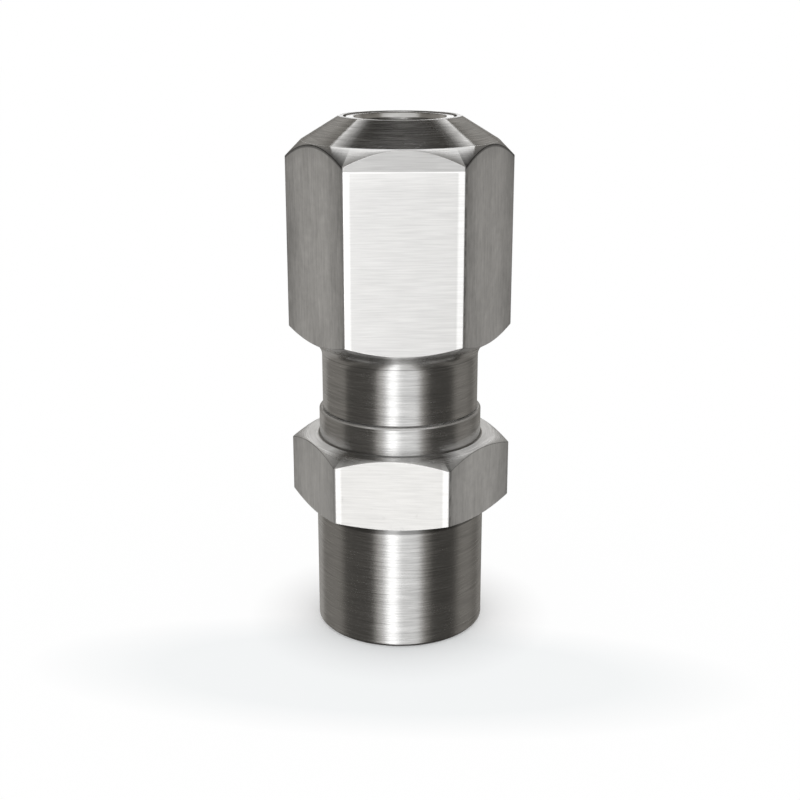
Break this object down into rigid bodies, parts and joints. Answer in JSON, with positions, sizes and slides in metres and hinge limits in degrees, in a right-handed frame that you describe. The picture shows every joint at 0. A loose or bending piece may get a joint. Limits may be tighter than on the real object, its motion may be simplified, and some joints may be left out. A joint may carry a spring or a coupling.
{
  "type": "quick connect tube fitting",
  "caption": "Stainless quick connect tube fitting with a screwed hex cap nut, release ring, grip collet, self-closing valve and a plain round stub.",
  "frame": {"origin": "centre of the stub's end face, at the bottom of the fitting", "axes": "+Z along the fitting's axis from the stub to the tube's mouth; a flat of the body's hex faces -Y"},
  "size_m": [0.0278, 0.0254, 0.0646],
  "materials": {
    "turned_steel": "satin",
    "bright_steel": "fine turned",
    "spring_steel": "bright",
    "rubber": "matte",
    "ptfe": "matte"
  },
  "bodies": {
    "base": {"body": "turned_steel", "tube_seal": "rubber", "backup_ring": "ptfe", "cap_seal": "rubber", "spring_seat": "bright_steel", "retaining_ring": "spring_steel", "poppet_spring": "spring_steel"},
    "cartridge": {"guide_ring": "bright_steel", "wave_spring": "spring_steel"},
    "cap": {"cap_nut": "turned_steel", "cap_snap_ring": "spring_steel", "dust_seal": "rubber"},
    "release": {"release_ring": "bright_steel"},
    "collet": {"grip_collet": "spring_steel"},
    "valve": {"poppet": "bright_steel", "poppet_seal": "rubber", "tube_follower": "bright_steel"}
  },
  "joints": [
    {"name": "cap_lift", "type": "slide", "parent": "base", "child": "cartridge", "axis": [0, 0, 1], "range_m": [0, 0.006]},
    {"name": "cap_turn", "type": "hinge", "parent": "cartridge", "child": "cap", "pos_m": [0, 0, 0.02865], "axis": [0, 0, 1], "range_deg": [0, 2160]},
    {"name": "release_press", "type": "slide", "parent": "cap", "child": "release", "axis": [0, 0, -1], "range_m": [0, 0.0015], "stiffness_N_per_m": 500, "springref_m": -0.001},
    {"name": "grip_release", "type": "slide", "parent": "cap", "child": "collet", "axis": [0, 0, -1], "range_m": [0, 0.0015], "stiffness_N_per_m": 1500, "springref_m": -0.001, "deforming": ["wave_spring"]},
    {"name": "valve_open", "type": "slide", "parent": "base", "child": "valve", "axis": [0, 0, -1], "range_m": [0, 0.003], "stiffness_N_per_m": 800, "springref_m": -0.003, "deforming": ["poppet_spring"]}
  ],
  "couplings": [
    {"joint": "cap_turn", "follows": "cap_lift", "rad_per_m": 6283.2},
    {"joint": "grip_release", "follows": "release_press", "ratio": 1}
  ]
}
